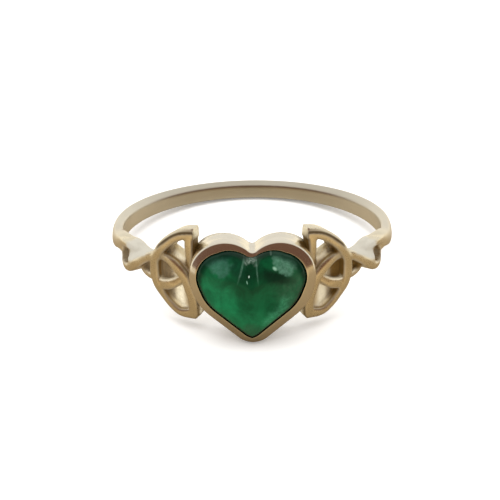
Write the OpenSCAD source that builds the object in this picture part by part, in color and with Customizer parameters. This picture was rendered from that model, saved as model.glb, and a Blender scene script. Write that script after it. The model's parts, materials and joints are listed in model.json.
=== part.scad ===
// Gold ring with a heart emerald between two woven knots.
// It is modelled about the finger's axis (Z) with the heart towards -Y, and then laid
// down as it rests by itself: on the heart's tip and on the back of the band.

/* [Band] */
// Radius of the finger hole
finger_r = 8.6; // [8.2:0.1:9.4]
// Thickness of the plain band at the sides, from the finger hole outwards
band_t = 0.8; // [0.7:0.05:0.9]
// How much thicker the band is at the back than at the sides
back_extra = 0.3; // [0:0.05:0.35]
// Half the height of the band at the back
band_back_h = 0.5; // [0.45:0.05:0.6]
// Half the height of the band at the sides
band_side_h = 0.66; // [0.6:0.02:0.7]
// Radius of the band's rounded outer face, seen in its section
crown_r = 0.9; // [0.8:0.05:1.2]

/* [Heart setting] */
// How far the outer wall of the setting stands out from the finger hole
rim_out = 2.0; // [1.7:0.1:2.3]
// Half the width of the setting
heart_w = 3.91; // [3.8:0.01:4.0]
// Height of the heart's widest place above the band's middle
heart_z = 1.05; // [0.9:0.05:1.15]
// Radius of the two upper lobes
lobe_r = 2.18; // [2.1:0.01:2.25]
// Radius of the rounded bottom of the notch between the lobes
notch_r = 0.34; // [0.3:0.01:0.4]
// Radius of the long lower sides
side_r = 3.5; // [3.3:0.05:3.7]
// Depth of the heart's tip below the band's middle
tip_z = 3.43; // [3.35:0.01:3.6]
// Width of the lip that is rubbed over the stone's edge
lip_w = 0.46; // [0.42:0.01:0.5]
// Width and height of the lip at the notch, as a share of what they are elsewhere
notch_lip = 0.43; // [0.4:0.01:0.5]
// How far the lip's inner edge stands in front of the outer wall
lip_out = 0.43; // [0.35:0.01:0.5]

/* [Emerald] */
// Gap all round between the stone and its setting
stone_gap = 0.04; // [0.02:0.01:0.06]
// Height of the stone's dome over its edge
dome_h = 1.05; // [0.7:0.05:1.4]
// Depth of the stone's edge below the lip
edge_in = 0.12; // [0.08:0.01:0.2]
// Depth of the stone's flat back below the outer wall's front
seat_in = 1.0; // [0.9:0.05:1.1]

/* [Knots] */
// Turn of both knots round the finger towards -X, in degrees
knot_turn = 0.7; // [0:0.1:1.2]
// Width of the strands, as a share of the widths in the tables below
strand_share = 1; // [0.9:0.02:1.1]
// Size of the chamfer along a strand's edges
strand_edge = 0.09; // [0.05:0.01:0.1]
// Radius of the hole through each loop
eye_r = 0.4; // [0.3:0.02:0.42]

/* [Hidden] */
$fn = 96;

gold = [0.80, 0.66, 0.42];
green = [0.06, 0.36, 0.20];

// Where routes are measured: s runs round the finger at this radius, from the heart
route_r = finger_r + 1.15;
// What stands inside the finger hole, down to this radius, is cut away
root_r = finger_r - 0.4;

// Strands: each row is s, z, how far the face stands out from the finger hole, and the
// width, from the heart side outwards. The face rises over a crossing strand and dips
// under the next one.
ARCH = [
    [3.72,  3.07, 1.06, 0.58], [4.60,  2.93, 1.10, 0.57], [5.34,  2.54, 1.16, 0.56],
    [6.00,  1.97, 1.26, 0.56], [6.56,  1.16, 1.24, 0.60], [6.71,  0.42, 1.06, 0.62],
    [6.63, -0.14, 0.90, 0.58], [6.34, -0.67, 0.80, 0.52], [5.94, -1.14, 0.88, 0.46],
    [5.36, -1.68, 1.02, 0.43], [4.62, -2.11, 1.08, 0.42], [3.64, -2.22, 1.08, 0.44]];
FALLING = [
    [3.99,  3.18, 1.08, 0.50], [4.02,  2.30, 1.06, 0.50], [4.04,  1.50, 0.96, 0.50],
    [4.17,  0.80, 0.82, 0.48], [4.45,  0.24, 0.80, 0.48], [4.92, -0.12, 0.94, 0.48],
    [5.46, -0.37, 1.12, 0.48], [6.16, -0.53, 1.26, 0.48], [6.90, -0.48, 1.18, 0.48],
    [7.55, -0.30, 0.98, 0.48], [8.15,  0.00, 0.80, 0.46], [8.66,  0.42, 0.76, 0.44],
    [9.10,  0.84, 0.92, 0.44], [9.62,  1.06, 1.00, 0.44], [10.2,  1.08, 0.98, 0.46],
    [10.9,  0.95, 0.88, 0.48], [11.8,  0.72, 0.72, 0.50]];
RISING = [
    [3.74, -2.36, 1.08, 0.54], [3.92, -1.40, 1.14, 0.56], [4.14, -0.60, 1.22, 0.54],
    [4.40,  0.20, 1.28, 0.50], [4.82,  0.74, 1.26, 0.48], [5.36,  1.09, 1.14, 0.48],
    [5.84,  1.24, 0.96, 0.48], [6.40,  1.27, 0.82, 0.48], [7.00,  1.08, 0.98, 0.48],
    [7.60,  0.80, 1.14, 0.48], [8.05,  0.53, 1.22, 0.50], [8.48,  0.24, 1.24, 0.50],
    [8.92, -0.06, 1.18, 0.50], [9.42, -0.33, 1.10, 0.48], [9.92, -0.40, 1.04, 0.46],
    [10.36, -0.24, 0.96, 0.42], [10.6, 0.10, 0.88, 0.36], [10.78, 0.50, 0.80, 0.36],
    [11.2, 0.85, 0.72, 0.40]];

// The plate under a knot, which grows out of the band: s, its bottom and top, how far
// its face stands out from the finger hole, and the width of its bevel
PLATE = [
    [3.50, -1.75,  1.12, 0.92, 0.50], [4.50, -2.02,  1.46, 0.78, 0.52],
    [5.40, -1.68,  1.80, 0.54, 0.50], [6.20, -1.00,  1.66, 0.54, 0.46],
    [7.20, -0.62,  1.16, 0.56, 0.42], [8.20, -0.38,  1.14, 0.58, 0.40],
    [8.90, -0.34,  1.36, 0.62, 0.44], [9.60, -0.48,  1.45, 0.68, 0.50],
    [10.3, -0.44,  1.38, 0.72, 0.50], [11.0, -0.16,  1.34, 0.76, 0.50],
    [11.8, -0.08,  1.28, 0.80, 0.50], [12.9, -0.30,  1.08, 0.80, 0.52],
    [14.6, -0.60,  0.72, 0.79, 0.50]];

// The slope behind a loop's arm: s, the height of its front edge, how far that edge
// stands out from the finger hole, and its top at the finger hole
SLOPE = [
    [7.20, 1.00, 0.90, 1.12], [7.70, 0.86, 1.04, 1.11], [8.10, 0.68, 1.14, 1.13],
    [8.50, 0.44, 1.16, 1.20], [8.90, 0.24, 1.10, 1.31], [9.30, 0.12, 0.95, 1.38],
    [9.70, 0.30, 0.80, 1.40]];

// Middle of each loop's hole
eye = [10.22, 0.24];

// Smooth run through a table's rows: row number and fraction, t counted in rows
function at(rows, i) = rows[max(0, min(len(rows) - 1, i))];
function smooth(rows, t) =
    let (i = min(floor(t), len(rows) - 2), f = t - i,
         a = at(rows, i - 1), b = at(rows, i), c = at(rows, i + 1), d = at(rows, i + 2))
    0.5 * (2 * b + (c - a) * f + (2 * a - 5 * b + 4 * c - d) * f * f
           + (3 * b - a - 3 * c + d) * f * f * f);

// A point at route length s and height z, r from the finger's axis, on the +X side
function turn(s) = s / route_r * 180 / PI;
function on_ring(s, z, r) = [r * sin(turn(s)), -r * cos(turn(s)), z];

// One closed ring of points across a strand, square to its run
function strand_ring(rows, t, root) =
    let (here = smooth(rows, t),
         run = smooth(rows, min(t + 0.05, len(rows) - 1)) - smooth(rows, max(t - 0.05, 0)),
         n = [-run[1], run[0]] / norm([run[0], run[1]]),
         r = finger_r + here[2], w = here[3] * strand_share)
    [for (p = [[-w / 2, root], [-w / 2, r - strand_edge], [-w / 2 + strand_edge, r],
               [w / 2 - strand_edge, r], [w / 2, r - strand_edge], [w / 2, root]])
        on_ring(here[0] + n[0] * p[0], here[1] + n[1] * p[0], p[1])];

// One ring of points across the plate. It leans a little, as the heart's sides do.
plate_lean = 0.06;
function plate_ring(t) =
    let (q = smooth(PLATE, t), s = q[0], low = q[1], top = q[2], b = q[4],
         face = finger_r + q[3], corner = face - 0.12, back = finger_r + 0.1)
    [for (p = [[low, root_r], [low, back], [low + b * 0.4, corner], [low + b, face],
               [top - b, face], [top - b * 0.4, corner], [top, back], [top, root_r]])
        on_ring(s + plate_lean * p[0], p[0], p[1])];

// One ring of points across the slope
function slope_ring(t) =
    let (q = smooth(SLOPE, t), s = q[0], z = q[1], r = finger_r + q[2], top = q[3])
    [for (p = [[z - 0.3, root_r], [top, root_r], [top - 0.04, finger_r + 0.2],
               [z + 0.12, r - 0.05], [z - 0.1, r - 0.12]])
        on_ring(s, p[0], p[1])];

// A solid through rings that all have the same number of points. Its ends are flat,
// or the last ring joins the first.
module loft(rings, joined = false) {
    n = len(rings[0]);
    m = len(rings);
    side = [for (i = [0:m - (joined ? 1 : 2)], j = [0:n - 1])
        let (a = i * n, b = (i + 1) % m * n, k = (j + 1) % n)
        for (face = [[a + j, a + k, b + j], [a + k, b + k, b + j]]) face];
    ends = [[for (j = [n - 1:-1:0]) j], [for (j = [0:n - 1]) (m - 1) * n + j]];
    polyhedron([for (ring = rings) for (p = ring) p], joined ? side : concat(side, ends),
               convexity = 8);
}

module strand(rows, root, steps = 3) {
    loft([for (k = [0:(len(rows) - 1) * steps]) strand_ring(rows, k / steps, root)]);
}

// Half of the heart's outline, from the notch to the tip. It is moved inwards by d, less
// on a lobe towards the notch, and by e alike all round. Each point is x, z and the lip's
// share there.
lobe_x = heart_w - lobe_r;
lobe_far = lobe_r + notch_r;
notch_z = heart_z + sqrt(lobe_far * lobe_far - lobe_x * lobe_x);
notch_a = 180 - asin((notch_z - heart_z) / lobe_far);
side_end = -50;
tip_r = (cos(side_end) * (heart_w - side_r) + sin(side_end) * heart_z + side_r
         + tip_z * sin(side_end)) / (1 + sin(side_end));
tip_lip = 1.18;
function lip_share(a) = 1 - (1 - notch_lip) * max(0, min(1, (a - 77) / 57));
function on_arc(c, r, a, share) = [c[0] + r * cos(a), c[1] + r * sin(a), share];
function heart_half(d, e) = concat(
    [for (k = [0:4]) let (share = lip_share(notch_a))
        on_arc([0, notch_z], notch_r + d * share + e, -88 + (notch_a - 92) * k / 4, share)],
    [for (k = [1:13]) let (a = notch_a + (8 - notch_a) * k / 13, share = lip_share(a))
        on_arc([lobe_x, heart_z], lobe_r - d * share - e, a, share)],
    [for (k = [0:7]) let (a = side_end * k / 7)
        on_arc([heart_w - side_r, heart_z],
               side_r - d * (1 + (tip_lip - 1) * min(1, -a / 20)) - e, a, 1)],
    [for (k = [0:4]) let (a = side_end - 5 + (-85 - side_end) * k / 4)
        on_arc([0, tip_r - tip_z], tip_r - d * tip_lip - e, a, 1)]);
function heart(d, e = 0) = let (half = heart_half(d, e), n = len(half))
    concat(half, [for (k = [n - 2:-1:0]) [-half[k][0], half[k][1], half[k][2]]]);

// The heart's outline at one depth, as points of the ring. In front of the outer wall
// the lip's share counts.
function heart_ring(d, y) = [for (p = heart(d))
    [p[0], -min(y, rim_y) - max(0, y - rim_y) * p[2], p[1]]];

// The setting's section, from the back of its outer wall over the lip to the stone's
// seat and the window behind the stone: how far in from the wall's outside, and the
// distance from the axis. The wall has a fine step half way, the lip slopes forwards.
rim_y = finger_r + rim_out;
lip_y = rim_y + lip_out;
wall_back = finger_r - 1.6;
window_in = lip_w + 0.7;
RIM = [[0.16, wall_back], [0.14, rim_y - 1.04], [0.05, rim_y - 0.98], [0, rim_y - 0.08],
       [0.05, rim_y + 0.03], [lip_w - 0.11, lip_y - 0.05], [lip_w - 0.04, lip_y],
       [lip_w, lip_y - edge_in], [lip_w, rim_y - seat_in], [window_in, rim_y - seat_in],
       [window_in, wall_back]];

module setting() {
    loft([for (p = RIM) heart_ring(p[0], p[1])], joined = true);
}

// The plain band, a little taller at the sides than at the back. Its outside is shifted
// backwards, which makes it thicker there. It starts inside the ends of the two plates,
// where it is drawn in so that no step shows.
band_r = finger_r + band_t;
band_from = turn(PLATE[len(PLATE) - 1][0]) - 5;
band_start_h = band_side_h - 0.25;
module band() {
    reach = band_r + 2;
    translate([0, back_extra, 0]) intersection() {
        rotate([0, 0, band_from - 90])
        rotate_extrude(angle = 360 - 2 * band_from)
        intersection() {
            translate([band_r - crown_r, 0]) circle(r = crown_r);
            translate([root_r, -2]) square([2, 4]);
        }
        rotate([90, 0, 90]) linear_extrude(3 * band_r, center = true)
        polygon([[-2, -band_start_h], [0, -band_side_h], [band_r, -band_back_h],
                 [reach, -band_back_h], [reach, band_back_h], [band_r, band_back_h],
                 [0, band_side_h], [-2, band_start_h]]);
    }
}

// One knot with its plate and loop
module knot() {
    loft([for (k = [0:2 * (len(PLATE) - 1)]) plate_ring(k / 2)]);
    loft([for (k = [0:2 * (len(SLOPE) - 1)]) slope_ring(k / 2)]);
    strand(ARCH, root_r + 0.1);
    strand(FALLING, root_r - 0.1);
    strand(RISING, root_r - 0.2);
}

module eye_hole() {
    rotate([0, 0, turn(eye[0])]) translate([0, 0, eye[1]]) rotate([90, 0, 0])
    cylinder(r = eye_r, h = route_r + 2);
}

// A puffed heart with a flat back: its dome is the outline drawn in towards its middle
stone_mid = [0, 0.25];
edge_y = lip_y - edge_in;
function stone_ring(f, y, dome = true) =
    [for (p = heart(lip_w, stone_gap))
        let (x = stone_mid[0] + (p[0] - stone_mid[0]) * f,
             z = stone_mid[1] + (p[1] - stone_mid[1]) * f,
             drop = dome ? (edge_y - rim_y) * (1 - p[2]) * pow(f, 4) : 0)
        [x, drop - y, z]];
STONE = concat([stone_ring(1, rim_y - seat_in + stone_gap, false)],
               [for (a = [0:15:75]) stone_ring(cos(a), edge_y + dome_h * sin(a))]);

// How the ring lies: on the setting's tip and on the band's lower back edge
back_r = back_extra + band_r - crown_r + sqrt(crown_r * crown_r - band_back_h * band_back_h);
tip_back = tip_z - RIM[1][0] - 0.01;
lean = atan((tip_back - band_back_h) / (finger_r + back_r));
lift = back_r * sin(lean) + band_back_h * cos(lean);
function leaned_y(p) = p[1] * cos(lean) + p[2] * sin(lean);
front_y = min([for (ring = STONE, p = ring) leaned_y(p)]);
back_y = (band_r + back_extra - crown_r) * cos(lean) + crown_r;
module lying() {
    translate([0, -(front_y + back_y) / 2, lift]) rotate([-lean, 0, 0]) children();
}

module gold_ring() {
    color(gold) lying() difference() {
        union() {
            band();
            setting();
            rotate([0, 0, -knot_turn]) {
                knot();
                mirror([1, 0, 0]) knot();
            }
        }
        cylinder(r = finger_r, h = 5 * tip_z, center = true);
        rotate([0, 0, -knot_turn]) {
            eye_hole();
            mirror([1, 0, 0]) eye_hole();
        }
    }
}

module emerald() {
    color(green) lying() loft(STONE);
}

gold_ring();
emerald();
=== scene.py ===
# %% [markdown]
# # A gold ring with a heart emerald between two woven knots
#
# The real ring is cast in pale yellow gold as one piece: a plain narrow shank, a woven
# knot on each shoulder, and a heart-shaped setting whose lip is rubbed over the edge of
# a puffed emerald. The CAD model holds the exact sizes. Here we make the skin that the
# eye sees: rounded strands, soft cast corners, a polished lip, satin and sandy gold.
#
# A step starts with a note like this one. We load the frame first. Nothing that we make
# may be bigger than it.

# %% Load the frame
import json
import math
import bpy
import numpy as np
from mathutils import Matrix, Vector
from mathutils.bvhtree import BVHTree


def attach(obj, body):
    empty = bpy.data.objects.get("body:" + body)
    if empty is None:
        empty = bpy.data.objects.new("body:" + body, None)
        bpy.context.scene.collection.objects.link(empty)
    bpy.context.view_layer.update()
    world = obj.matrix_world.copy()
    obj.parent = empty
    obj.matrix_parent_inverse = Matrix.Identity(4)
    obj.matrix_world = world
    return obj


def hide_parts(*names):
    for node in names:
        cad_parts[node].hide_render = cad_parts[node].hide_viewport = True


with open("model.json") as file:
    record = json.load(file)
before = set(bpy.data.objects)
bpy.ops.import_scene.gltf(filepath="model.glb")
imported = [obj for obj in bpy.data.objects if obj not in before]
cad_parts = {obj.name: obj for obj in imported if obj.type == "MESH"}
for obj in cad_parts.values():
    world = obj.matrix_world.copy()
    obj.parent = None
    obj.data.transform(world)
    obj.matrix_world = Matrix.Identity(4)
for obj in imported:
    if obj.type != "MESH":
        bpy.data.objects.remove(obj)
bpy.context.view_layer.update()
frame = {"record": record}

# %% [markdown]
# ## How the ring lies
#
# A jeweller thinks of a ring about the finger's axis, so we model it upright in
# millimetres: Z is the finger, and the heart looks towards -Y. A ring that is put down
# leans on the tip of its heart. The record keeps the finger hole's middle and axis as
# it lies, and those two give the matrix that lays every mesh down.

# %% The matrix that lays the ring down
hole = frame["record"]["mounts"][0]
finger = Vector(hole["axis"]).normalized()
across = Vector((1, 0, 0))
lay_down = (Matrix.Translation(Vector(hole["pos_m"]))
            @ Matrix((across, finger.cross(across), finger)).transposed().to_4x4()
            @ Matrix.Scale(0.001, 4))
lean = math.degrees(math.asin(finger.y))
print("the ring leans by", round(lean, 2), "degrees")

# %% [markdown]
# ## The camera
#
# The camera comes early, because everything else is judged through it. Its height, roll
# and distance come from matching the CAD model's edges to the photograph: it looks down
# on the ring by 20 degrees, measured on the ring itself, from 12 cm away. The long lens
# keeps the perspective as mild as it is in the picture.

# %% Place the camera
def put(name, data):
    """An object made from its data, in the scene."""
    thing = bpy.data.objects.new(name, data)
    bpy.context.scene.collection.objects.link(thing)
    return thing

def at_camera(elevation, roll, distance, lens, shift):
    """A camera that looks at the ring's middle: degrees, mm, and shares of the picture."""
    e, r = math.radians(elevation), math.radians(roll)
    back = Vector((0, -math.cos(e), math.sin(e)))
    right = Vector((1, 0, 0))
    up = back.cross(right)
    turned = Matrix((math.cos(r) * right - math.sin(r) * up,
                     math.sin(r) * right + math.cos(r) * up, back)).transposed()
    upright = lay_down.to_3x3() * 1000  # turns, but doesn't shrink
    data = bpy.data.cameras.new("camera")
    data.lens, data.sensor_width = lens, 36
    data.shift_x, data.shift_y = shift
    data.clip_start, data.clip_end = 0.005, 10
    camera = put("camera", data)
    camera.matrix_world = (Matrix.Translation(lay_down @ (back * distance))
                           @ (upright @ turned).to_4x4())
    bpy.context.scene.camera = camera
    return camera

photo_side = 500  # pixels
off_middle = (-2.08, -17.25)  # how far the picture is moved off the ring's middle, in pixels
camera = at_camera(elevation=19.94, roll=0.66, distance=120, lens=128.57,
                   shift=[v / photo_side for v in off_middle])
print("camera at", [round(v * 1000, 1) for v in camera.location], "mm")

# %% [markdown]
# ## Numbers that the whole ring shares
#
# Gold and stone are built from the same few sizes as the CAD model, in millimetres. A
# strand's route is a table: how far along the shoulder, how high, how far its face
# stands out from the finger hole, and its width. A Catmull-Rom curve through the rows
# gives a smooth run with few numbers, where hand-placed Bezier handles would need many.

# %% Sizes and routes in millimetres
finger_r = 8.6  # the finger hole
route_r = finger_r + 1.15  # where the length of a shoulder is measured
knot_turn = math.radians(0.7)  # both knots sit a little to the left

ARCH = [(3.72, 3.12, 1.06, .68), (4.60, 2.98, 1.10, .68), (5.34, 2.59, 1.16, .66),
        (6.00, 2.00, 1.26, .64), (6.56, 1.16, 1.24, .62), (6.71, 0.42, 1.16, .70),
        (6.65, -0.14, 1.16, .68), (6.42, -0.72, 1.16, .58), (6.06, -1.28, 1.06, .47),
        (5.48, -1.85, 1.02, .45), (4.70, -2.22, 1.08, .48), (3.64, -2.14, 1.08, .76)]
FALLING = [(4.03, 3.18, 1.08, .55), (4.06, 2.30, 1.06, .55), (4.07, 1.50, 0.96, .54),
           (4.17, 0.80, 0.82, .50), (4.45, 0.24, 0.80, .50), (4.92, -0.16, 0.94, .56),
           (5.46, -0.46, 1.10, .64), (6.16, -0.56, 1.10, .62), (6.90, -0.35, 0.98, .42),
           (7.55, -0.27, 0.90, .42), (8.15, -0.04, 0.80, .46), (8.66, 0.42, 0.64, .44),
           (9.10, 0.84, 0.74, .44), (9.62, 1.06, 0.90, .44), (10.2, 1.08, 0.96, .46),
           (10.9, 0.95, 0.88, .48), (11.8, 0.72, 0.72, .50)]
RISING = [(3.78, -2.36, 1.08, .62), (3.80, -1.40, 1.14, .62), (4.00, -0.60, 1.22, .60),
          (4.29, 0.22, 1.28, .60), (4.82, 0.77, 1.26, .60), (5.36, 1.12, 1.16, .58),
          (5.84, 1.26, 1.06, .54), (6.40, 1.27, 1.00, .54), (7.00, 1.08, 1.06, .56),
          (7.60, 0.80, 1.14, .56), (8.05, 0.50, 1.22, .56), (8.48, 0.22, 1.24, .56),
          (8.92, -0.06, 1.18, .54), (9.42, -0.33, 1.10, .50), (9.92, -0.40, 1.04, .46),
          (10.36, -0.24, 0.96, .42), (10.6, 0.10, 0.88, .36), (10.78, 0.50, 0.80, .36),
          (11.2, 0.85, 0.72, .40)]
# The plate under a knot: along the shoulder, bottom, top, how far out, bevel
PLATE = [(3.50, -1.75, 1.26, .92, .50), (4.50, -2.16, 1.60, .78, .40),
         (5.40, -1.86, 1.98, .56, .40), (6.20, -1.14, 1.82, .54, .40),
         (7.20, -0.62, 1.16, .56, .42), (8.20, -0.38, 1.14, .58, .40),
         (8.90, -0.34, 1.36, .62, .44), (9.60, -0.48, 1.45, .68, .50),
         (10.3, -0.44, 1.38, .72, .50), (11.0, -0.16, 1.34, .76, .50),
         (11.8, -0.08, 1.28, .80, .50), (12.9, -0.30, 1.08, .80, .52),
         (14.6, -0.60, 0.72, .79, .50)]
# The slope behind the loop's arm: along the shoulder, height and distance from the axis
# of its front edge, and its top at the finger hole
SLOPE = [(7.2, 1.00, 9.54, 1.16), (7.7, 0.86, 9.68, 1.15), (8.1, 0.68, 9.77, 1.17),
         (8.5, 0.42, 9.79, 1.24), (8.9, 0.18, 9.76, 1.38), (9.3, 0.02, 9.69, 1.45),
         (9.6, -0.04, 9.62, 1.46), (9.84, 0.0, 9.52, 1.42)]
print("strands:", len(ARCH), len(FALLING), len(RISING), "rows; plate:", len(PLATE), "rows")

# %% [markdown]
# ## Tools for the skins
#
# Shank, strands, setting and stone are all made in the same way: an outline is moved
# along a path, and a skin is drawn over the outlines. So the tools come first. A curve
# runs smoothly through the rows of a table, sharp corners become short curves, and a
# loft joins the outlines. Modelling by hand would be quicker for one ring, but tables
# can be changed later, one number at a time.

# %% Helpers for smooth runs, rounded corners and lofts
def smooth_row(rows, t):
    """The row at t, counted in rows, on a Catmull-Rom curve through all rows."""
    i = min(int(t), len(rows) - 2)
    f = t - i
    a, b, c, d = (rows[max(0, min(len(rows) - 1, k))] for k in (i - 1, i, i + 1, i + 2))
    return [0.5 * (2 * q + (r - p) * f + (2 * p - 5 * q + 4 * r - s) * f * f
                   + (3 * q - p - 3 * r + s) * f ** 3) for p, q, r, s in zip(a, b, c, d)]

def blend(a, b, t):
    return a + (b - a) * t

def clamp(t):
    return max(0.0, min(1.0, t))

def ease(t):
    t = clamp(t)
    return t * t * (3 - 2 * t)

def rounded(corners, n=4):
    """A closed outline whose corners (x, y, radius) are turned into short curves."""
    points = []
    for i, (x, y, r) in enumerate(corners):
        p = Vector((x, y))
        legs = [Vector(corners[(i + k) % len(corners)][:2]) - p for k in (-1, 1)]
        a, b = (p + leg.normalized() * min(r, leg.length * 0.49) for leg in legs)
        for k in range(n + 1):
            t = k / n
            points.append((1 - t) ** 2 * a + 2 * t * (1 - t) * p + t * t * b)
    return points

def loft(rings, round_trip=False):
    """Points and faces of a skin through rings; its ends are capped, or they meet."""
    n, m = len(rings[0]), len(rings)
    faces = [(i * n + j, i * n + (j + 1) % n,
              (i + 1) % m * n + (j + 1) % n, (i + 1) % m * n + j)
             for i in range(m if round_trip else m - 1) for j in range(n)]
    if not round_trip:
        faces += [tuple(range(n - 1, -1, -1)), tuple((m - 1) * n + j for j in range(n))]
    return [tuple(p) for ring in rings for p in ring], faces

def on_ring(angle, r, z):
    """A point r from the finger's axis; angle 0 is the heart, positive towards +X."""
    return Vector((r * math.sin(angle), -r * math.cos(angle), z))

tile = rounded([(0, 0, 0.2), (1, 0, 0.2), (1, 1, 0.2), (0, 1, 0.2)])
print("a rounded square has", len(tile), "points")

# %% [markdown]
# ## The shank and its two shoulders
#
# On the real ring the plain shank swells into each shoulder and ends beside the heart as
# the plate that the knot lies on. It could be a circle with a bevel profile, but its
# section changes all the way round. So we draw the section at some 300 stations and loft
# a skin through them: sloping plate, then shoulder, then a flat-sided shank with a
# crowned face. The edges of the finger hole are eased, as they are on a ring that is
# meant to be worn.

# %% Sections of the shank
band_t, back_extra = 0.8, 0.3  # the shank's thickness, and what the back has on top
side_h, back_h = 0.66, 0.5  # half of its height at the sides and at the back
crown_r, rise = 0.9, 0.14  # its crowned face, and how far its upper edge stands up
plate_end, shank_start = 12.6, 15.8  # between these, shoulder turns into shank
plate_slant = 0.06  # the plates' tops lean away from the heart by this share of the height
front_step, front_count, back_count = 0.12, 93, 62  # mm between sections, and how many

def plate_section(s):
    """Corners (z, r, rounding) of the plate or shoulder at s along the shoulder."""
    t = 0
    while t < len(PLATE) - 2 and PLATE[t + 1][0] < s:
        t += 1
    f = (s - PLATE[t][0]) / (PLATE[t + 1][0] - PLATE[t][0])
    _, low, top, out, bevel = smooth_row(PLATE, t + clamp(f))
    face = finger_r + out
    ease_r = blend(0.08, 0.2, ease((s - 9) / 3))
    return [(low, finger_r, ease_r), (top, finger_r, ease_r),
            (top - 0.4 * bevel, face - 0.12, 0.12), (top - bevel, face, 0.16),
            ((low + top) / 2, face, 0.1),
            (low + bevel, face, 0.16), (low + 0.4 * bevel, face - 0.12, 0.12)]

def shank_section(angle):
    """Corners (z, r, rounding) of the plain shank at an angle from the heart."""
    centre = -back_extra * math.cos(angle)
    reach = centre + math.sqrt((finger_r + band_t) ** 2
                               - (back_extra * math.sin(angle)) ** 2)
    y = -reach * math.cos(angle) - back_extra
    h = blend(side_h, back_h, max(-0.2, min(1, y / (finger_r + band_t))))
    def crown(z):
        return reach - crown_r + math.sqrt(crown_r ** 2 - z * z)
    return [(-h, finger_r, 0.2), (h, finger_r, 0.22), (h + rise, crown(h) + 0.06, 0.3),
            (h * 0.6, crown(h * 0.55) + 0.03, 0.2), (0, crown(0), 0.2),
            (-h * 0.55, crown(h * 0.55), 0.2), (-h, crown(h), 0.14)]

def shank_ring(angle):
    """The section at a signed angle, as points of the ring."""
    turn = abs(angle)
    s = turn * route_r
    if s < plate_end:
        corners = plate_section(s)
    else:
        share = ease((s - plate_end) / (shank_start - plate_end))
        last_row = min(s, PLATE[-1][0])
        corners = [[blend(p, q, share) for p, q in zip(a, b)]
                   for a, b in zip(plate_section(last_row), shank_section(turn))]
    slant = math.copysign(plate_slant, angle) * (1 - ease((s - 12) / 3)) / route_r
    shift = knot_turn * (1 - ease((s - 12) / 6))
    return [on_ring(angle + slant * z - shift, r, z) for z, r in rounded(corners)]

front_runs = [PLATE[0][0] + front_step * k for k in range(front_count)]
back_start, back_end = front_runs[-1] + front_step, math.pi * route_r
back_runs = [blend(back_start, back_end, k / back_count) for k in range(back_count)]
right = [s / route_r for s in front_runs + back_runs] + [math.pi]
stations = right + [-a for a in reversed(right[:-1])]
shank_skin = loft([shank_ring(a) for a in stations])

print("shank:", len(stations), "stations,", len(shank_skin[1]), "faces")

# %% [markdown]
# ## The strands of the knots
#
# Each shoulder carries three strands that pass over and under each other: an arch, and
# two crossing strands that run out into a small loop. A strand is a strip of gold with a
# flat face and narrow chamfers. Only the upper chamfer of the arch is broad, as it
# catches the dark ceiling and draws the line above the arch. A curve object with a bevel
# would twist at the crossings, so we set each section square to its run, upright on the
# finger hole, and loft through them. A smooth slope joins the lower arm to the hole.

# %% Build the strands
chamfer = 0.10

def slope_skin(sign):
    """The smooth slope from the finger hole's edge down to the arm of a loop."""
    rings = []
    hole = finger_r + 0.05
    for k in range(8 * (len(SLOPE) - 1) + 1):
        s, z, r, top = smooth_row(SLOPE, k / 8)
        web = finger_r + 0.2 + 0.15 * ease((s - 8.7) / 0.5)
        section = rounded([(z - 0.3, hole, 0.05), (top, hole, 0.05), (top - 0.04, web, 0.08),
                           (z + 0.12, r - 0.05, 0.08), (z - 0.1, r - 0.12, 0.05)], 3)
        rings.append([on_ring(sign * s / route_r - knot_turn, q, h) for h, q in section])
    return loft(rings)

def strand_skin(rows, sign, upper_chamfer, steps=8):
    """A strand through its rows; its upper chamfer is only broad above the middle."""
    rings = []
    last = len(rows) - 1
    for k in range(last * steps + 1):
        t = k / steps
        s, z, out, w = smooth_row(rows, t)
        s1, z1 = smooth_row(rows, min(t + 0.05, last))[:2]
        s0, z0 = smooth_row(rows, max(t - 0.05, 0))[:2]
        side = Vector((z0 - z1, s1 - s0)).normalized()
        r = finger_r + out
        h = w / 2 + 0.02
        broad = blend(chamfer, upper_chamfer, abs(side.y) * ease(z / 0.4))
        low, high = (chamfer, broad) if side.y > 0 else (broad, chamfer)
        section = rounded([(-h, finger_r, 0.06), (-h, r - low, 0.02),
                           (-h + low, r, 0.03), (0, r + 0.015, 0.1), (h - high, r, 0.03),
                           (h, r - high, 0.02), (h, finger_r, 0.06)], 3)
        rings.append([on_ring(sign * (s + side.x * u) / route_r - knot_turn, v,
                              z + side.y * u) for u, v in section])
    return loft(rings)

strand_skins = [strand_skin(rows, sign, upper_chamfer) for sign in (1, -1)
                for rows, upper_chamfer in ((ARCH, 0.25), (FALLING, 0.08), (RISING, 0.09))]
strand_skins += [slope_skin(1), slope_skin(-1)]
print("strands:", len(strand_skins), "skins,", sum(len(f) for _, f in strand_skins), "faces")

# %% [markdown]
# ## Casting it in one
#
# Shank and strands still pass through each other. In the real casting they flow together
# with small soft hollows in the corners. A boolean would keep every corner sharp, so we
# let a voxel remesh melt the skins into one. Its cell size decides how soft the corners
# get, and how many faces we pay for them.

# %% Melt the skins into one casting
voxel = 0.064

def mesh_of(name, *skins):
    """One mesh in millimetres from one or more skins, which may pass through each other."""
    points, faces = [], []
    for some_points, some_faces in skins:
        faces += [tuple(len(points) + k for k in face) for face in some_faces]
        points += some_points
    mesh = bpy.data.meshes.new(name)
    mesh.from_pydata(points, [], faces)
    mesh.validate()
    return mesh

def modified(mesh, *modifiers):
    """The mesh after some modifiers, each a type and its settings."""
    thing = put("work", mesh)
    for kind, settings in modifiers:
        modifier = thing.modifiers.new(kind, kind)
        for key, value in settings.items():
            setattr(modifier, key, value)
    result = bpy.data.meshes.new_from_object(
        thing.evaluated_get(bpy.context.evaluated_depsgraph_get()))
    bpy.data.objects.remove(thing)
    return result

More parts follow.
